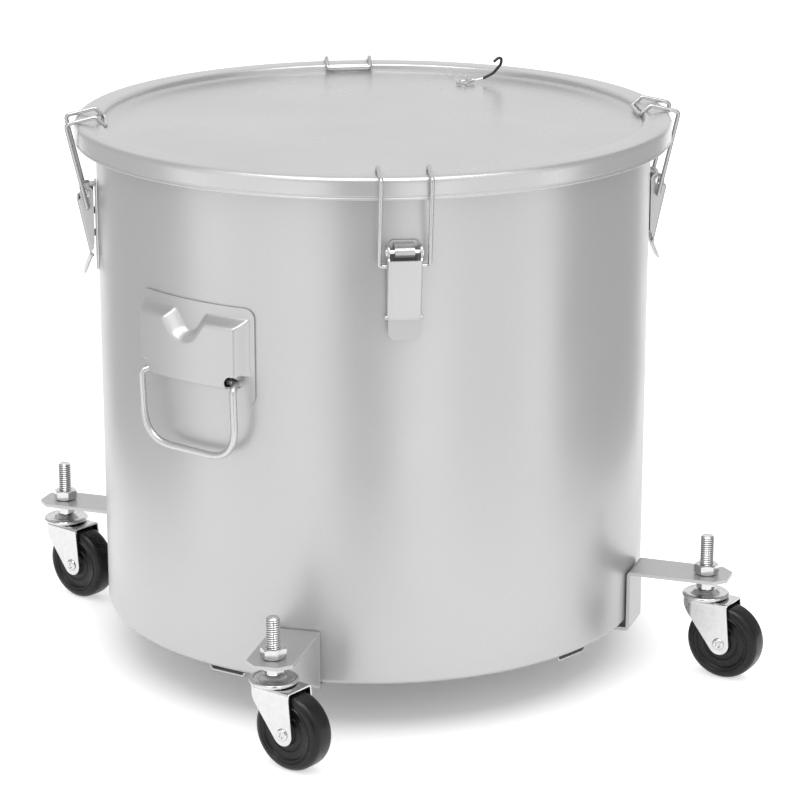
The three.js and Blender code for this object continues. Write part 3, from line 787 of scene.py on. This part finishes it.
def caster_fork(side, at, body):
    """Pressed from one sheet: flat top, rounded nose with a short skirt, and two raked legs."""
    thick, top, fold_radius = 1.6, 63.0, 1.9
    wide = 13.6 - thick / 2
    nose_x = -3.8
    nose = arc(nose_x, 0, 13.2, 256, 104, 22)
    leg_end = [(-7, 48.6), *[(-7 + 19.2 * k / 12, 48.6 - 24.7 * k / 12) for k in range(1, 12)],
               *arc(TRAIL, WHEEL_RADIUS, 8.8, 224, 360, 14)]
    edge = Run(leg_end)
    columns = []
    for k in range(26, 0, -1):
        point, _ = edge(edge.at[-1] * k / 26)
        columns.append(((-7 + (TRAIL + 13) * k / 26, -wide), (0, -1), (point.x, point.y)))
    for x, y in nose:
        out = Vector((x - nose_x, y)).normalized()
        columns.append(((x, y), tuple(out), (x, min(57.5, 57.5 - (x + 15.5) * 1.04))))
    columns += [((x, -y), (nx, -ny), end) for (x, y), (nx, ny), end in reversed(columns[:26])]
    verts, faces, rows = [], [], 15
    for (x, y), (nx, ny), (end_x, end_z) in columns:
        for k in range(6):
            a = math.radians(90 * k / 5)
            inset = fold_radius * (1 - math.sin(a))
            verts.append((x - nx * inset, y - ny * inset, top - thick / 2 - fold_radius * (1 - math.cos(a))))
        start = top - thick / 2 - fold_radius
        for k in range(1, rows - 5):
            t = k / (rows - 6)
            verts.append((x + (end_x - x) * t, y, start + (end_z - start) * t))
    for c in range(len(columns) - 1):
        for k in range(rows - 1):
            a, b = c * rows + k, (c + 1) * rows + k
            faces.append((a, b, b + 1, a + 1))
    faces.append(tuple(c * rows for c in range(len(columns))))
    node = f"caster_fork_{side}"
    piece(node, (verts, faces), CHROME, body, [node], at, thick, 0.35)


def caster(side):
    stem, hub = (Vector(JOINTS[name]["pos_m"]) for name in (f"swivel_{side}", f"wheel_{side}_spin"))
    heading = math.atan2(hub.y - stem.y, hub.x - stem.x)
    turn = Matrix.Rotation(heading, 4, "Z") @ Matrix.Scale(MM, 4)
    at = Matrix.Translation((stem.x, stem.y, 0)) @ turn
    at_hub = Matrix.Translation(hub) @ turn
    under, strap_top, thread_low, end = 61.1, 82.0, 88.5, 113.5
    shank = turned([(0, under - 3.2), (3.5, under - 3.1), (6, under - 2.4), (7.3, under - 1.2), (7.5, under),
                    (4.9, under), (4.9, thread_low), (0, thread_low)], 36)
    node = f"caster_stem_{side}"
    thread = threaded(5.4, thread_low, end, pitch=1.75)
    piece(f"caster_thread_{side}", thread, THREAD_ZINC_GROOVE_SHADE, BODY_OF[node], [node], at, sharp=60)
    stem_shape = together(shank, hexagon(13, 69.7, strap_top - 3.3, 4.6))
    piece(node, stem_shape, CHROME, BODY_OF[node], [node], at, sharp=30)

    node = f"caster_nut_{side}"
    nut = hexagon(17, strap_top + 0.3, strap_top + 8.3, 4.9)
    piece(node, nut, ZINC, BODY_OF[node], [node], at, sharp=25)

    cap = [(5.3, 63.5), (16.6, 63.5), *arc(17.0, 65.1, 1.6, -80, 60, 8), (17.2, 66.7), (16.2, 67.0),
           *arc(13.6, 70.6, 4.2, -60, -100, 5), (10.6, 67.2), (9.4, 68.4), (8.4, 69.3), (5.3, 69.4)]
    node = f"caster_cap_{side}"
    piece(node, turned(cap, 64, ring=True), CHROME, BODY_OF[node], [node], at, sharp=42)
    caster_fork(side, at, f"swivel_{side}")

    face = 13.9
    head = [(0, face + 0.1), (1.5, face + 0.1), (1.9, face + 0.9), (2.6, face + 1.4), (3.6, face + 1.4),
            (4.4, face + 0.9), (4.9, face)]
    axle = [(r, -y) for r, y in head] + [(3, -face), (3, face)] + list(reversed(head))
    node = f"caster_axle_{side}"
    piece(node, along_y(turned(axle, 36)), CHROME, BODY_OF[node], [node], at_hub)

    half = [(3.3, 11.4), (7.6, 11.4), (8.4, 11.1), (8.9, 10.4), (9.5, 8.9), (10.4, 8.4), (13.2, 8.3),
            (13.7, 7.7), (14.5, 7.7), (15.0, 8.3), (19.2, 8.3), (20.2, 8.7), (20.9, 9.9), (21.6, 10.3),
            (22.2, 10.3), (22.7, 9.6), (23.4, 9.6), (23.9, 10.2),
            *arc(24.65, 5.0, 5.2, 88, 2, 10), (29.95, 2.6)]
    profile = half + [(WHEEL_RADIUS, 0)] + [(r, -y) for r, y in reversed(half)]
    node = f"caster_wheel_{side}"
    wheel = along_y(turned(profile, 128, ring=True))
    piece(node, wheel, WHEEL_BLACK, f"wheel_{side}", [node], at_hub, sharp=30)


# ---- strainer, kept inside the drum ----
def strainer():
    low, high = (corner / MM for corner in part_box("strainer_bag"))
    middle = (low + high) / 2
    at = Matrix.Scale(MM, 4) @ Matrix.Translation((middle.x, middle.y, low.z))
    mouth, height = 75.0, high.z - low.z
    level = height + 2.3
    ring = [((mouth - 1) * math.cos(a), (mouth - 1) * math.sin(a), level)
            for a in (math.radians(10 + 340 * i / 96) for i in range(97))]
    rod = bent([ring[-1] + (0,), (mouth + 8, -3.5, level + 3, 6), (mouth + 91, -2.6, level + 41, 8),
                (mouth + 96, -6.2, level + 44, 1)], 6)
    eye = [(mouth + 103 + 9 * math.cos(a), 9 * math.sin(a), level + 46)
           for a in (math.radians(216 + 284 * i / 30) for i in range(31))]
    wire = tube([*ring, *rod[1:-1], *eye], 2, 16)
    hoop = piece("strainer_hoop", wire, WIRE, "strainer", ["strainer_hoop"], at)

    # the net hangs in soft folds from the hoop and gathers on the drum's floor
    profile = [(0, 0.4), (14, 0.3), (27, 0.4), (37, 1.2), (48, 4.2), (57, 9), (63, 18), (67.5, 31),
               (69.6, 46), (70.4, 70), (70.9, 95), (71.6, 120), (72.4, 145), (73.0, 163), (73.2, height - 2)]
    steps, verts, faces = 180, [(0, 0, profile[0][1])], []
    for r, z in profile[1:]:
        slack = 1.5 * math.sin(math.pi * min(z / height, 1)) + (0.5 if 0 < z < 40 else 0)
        for i in range(steps):
            a = 2 * math.pi * i / steps
            wave = math.sin(9 * a + 0.8 * math.sin(2 * a)) + 0.45 * math.sin(16 * a + 1.3 + z / 60)
            out = r + slack * 0.7 * wave
            verts.append((out * math.cos(a), out * math.sin(a), z + 0.2 * slack * math.sin(5 * a)))
    for i in range(steps):
        faces.append((0, 1 + i, 1 + (i + 1) % steps))
    for row in range(len(profile) - 2):
        a, b = 1 + row * steps, 1 + (row + 1) * steps
        for i in range(steps):
            j = (i + 1) % steps
            faces.append((a + i, b + i, b + j, a + j))
    bag = piece("strainer_bag", (verts, faces), BAG_MESH, "strainer", ["strainer_bag"], at, 0.5)
    hem_line = [(73.2 * math.cos(a), 73.2 * math.sin(a), height - 1.6)
                for a in (2 * math.pi * i / 120 for i in range(121))]
    hem_tube = tube(hem_line, 1.3, 10)
    hem = piece("strainer_hem", hem_tube, BAG_MESH, "strainer", ["strainer_bag"], at)


# ---- build the model ----
drum_shell()
lid_shell()
lid_gasket()
lid_hook()
for place in SIDES:
    pivot = at_joint(f"lever_{place}_pivot")
    latch_plate(place, pivot)
    latch_pin(place, pivot)
    latch_lever(place, pivot, f"lever_{place}")
    latch_bail(place, pivot, f"bail_{place}")
    caster(place)
for place in ("left", "right"):
    pivot = at_joint(f"ring_{place}_pivot")
    handle_plate(place, math.atan2(pivot.translation.y, pivot.translation.x))
    handle_ring(place, pivot)
for place in ("front_left", "front_right", "rear_right", "rear_left"):
    foot(place)
base_strap("base_strap_upper", "front", BOTTOM - 0.3)
base_strap("base_strap_lower", "right", BOTTOM - 3.6)
base_rivet()
strainer()


# ---- camera ----
def camera():
    view = bpy.data.cameras.new("camera")
    view.lens, view.sensor_width = 132.06, 36
    obj = bpy.data.objects.new("camera", view)
    around, away, height = math.radians(-27.86), 2.267, 0.887
    obj.location = (math.sin(around) * away, -math.cos(around) * away, height)
    obj.rotation_euler = (math.radians(90 - 16.93), 0, math.radians(-28.39))
    bpy.context.scene.collection.objects.link(obj)
    bpy.context.scene.camera = obj


# ---- floor and soft studio light ----
CAMERA_SIDE = math.radians(-27 - 90)  # about the heading from the drum towards the camera


def card(name, level, heading, distance, width, height, low=0.0, lean=0.0):
    """A card that shows only in reflections. It glows at the given level.

    Its heading is in degrees from the camera's side. Its lower edge is at the height low, and its upper edge
    stands further out than that by lean.
    """
    material = bpy.data.materials.new(name)
    material.use_nodes = True
    nodes, links = material.node_tree.nodes, material.node_tree.links
    nodes.clear()
    glow = nodes.new("ShaderNodeEmission")
    glow.inputs["Strength"].default_value = level
    links.new(glow.outputs["Emission"], nodes.new("ShaderNodeOutputMaterial").inputs["Surface"])
    mesh = bpy.data.meshes.new(name)
    half = width / 2
    top = low + height
    corners = [(0, -half, low), (0, half, low), (lean, half, top), (lean, -half, top)]
    mesh.from_pydata(corners, [], [(0, 1, 2, 3)])
    mesh.materials.append(material)
    obj = bpy.data.objects.new(name, mesh)
    turn = CAMERA_SIDE + math.radians(heading)
    obj.matrix_world = Matrix.Rotation(turn, 4, "Z") @ Matrix.Translation((distance, 0, 0))
    obj.visible_camera = obj.visible_diffuse = obj.visible_shadow = obj.visible_transmission = False
    bpy.context.scene.collection.objects.link(obj)


def studio():
    """A white floor with a painted shadow: its glow is dimmer near the drum and fades into an even white
    light further out, with cards round the drum to reflect.
    """
    mesh = bpy.data.meshes.new("floor")
    mesh.from_pydata([(-12, -12, 0), (12, -12, 0), (12, 12, 0), (-12, 12, 0)], [], [(0, 1, 2, 3)])
    pale = Finish("floor_white_painted_shadow", grey(0.93), 0.0, 0.9)
    pale.tint(pale.noise(2, 2), grey(0.925), grey(0.935))
    pale.shader.inputs["Emission Color"].default_value = (1, 1, 1, 1)
    away = pale.nodes.new("ShaderNodeVectorMath")
    away.operation = "LENGTH"
    pale.links.new(pale.place, away.inputs[0])
    # painted shadow: the floor glows less within about a quarter metre of the drum's axis, a darker pool
    # round its foot
    pale.spread(away.outputs["Value"], 0.10, 0.52, "Emission Strength", 0.19, 0.255)
    mesh.materials.append(pale.material)
    floor = bpy.data.objects.new("floor", mesh)
    bpy.context.scene.collection.objects.link(floor)

    world = bpy.data.worlds.new("studio")
    world.use_nodes = True
    world.node_tree.nodes["Background"].inputs["Color"].default_value = (1, 1, 1, 1)
    world.node_tree.nodes["Background"].inputs["Strength"].default_value = 1.0
    bpy.context.scene.world = world

    card("dark_front", 0.42, -4, 0.70, 0.22, 1.4)
    card("dark_left", 0.58, -100, 0.62, 0.72, 1.4)
    card("dark_right", 0.46, 98, 0.62, 0.72, 1.4)
    card("bright_left", 1.24, -43, 0.68, 0.28, 1.4)
    card("bright_right", 1.12, 40, 0.68, 0.36, 1.4)
    card("overhead", 6.5, 0, 1.35, 2.6, 0.55, 1.9, lean=-0.9)
    bpy.context.scene.view_settings.view_transform = "Standard"


camera()
studio()
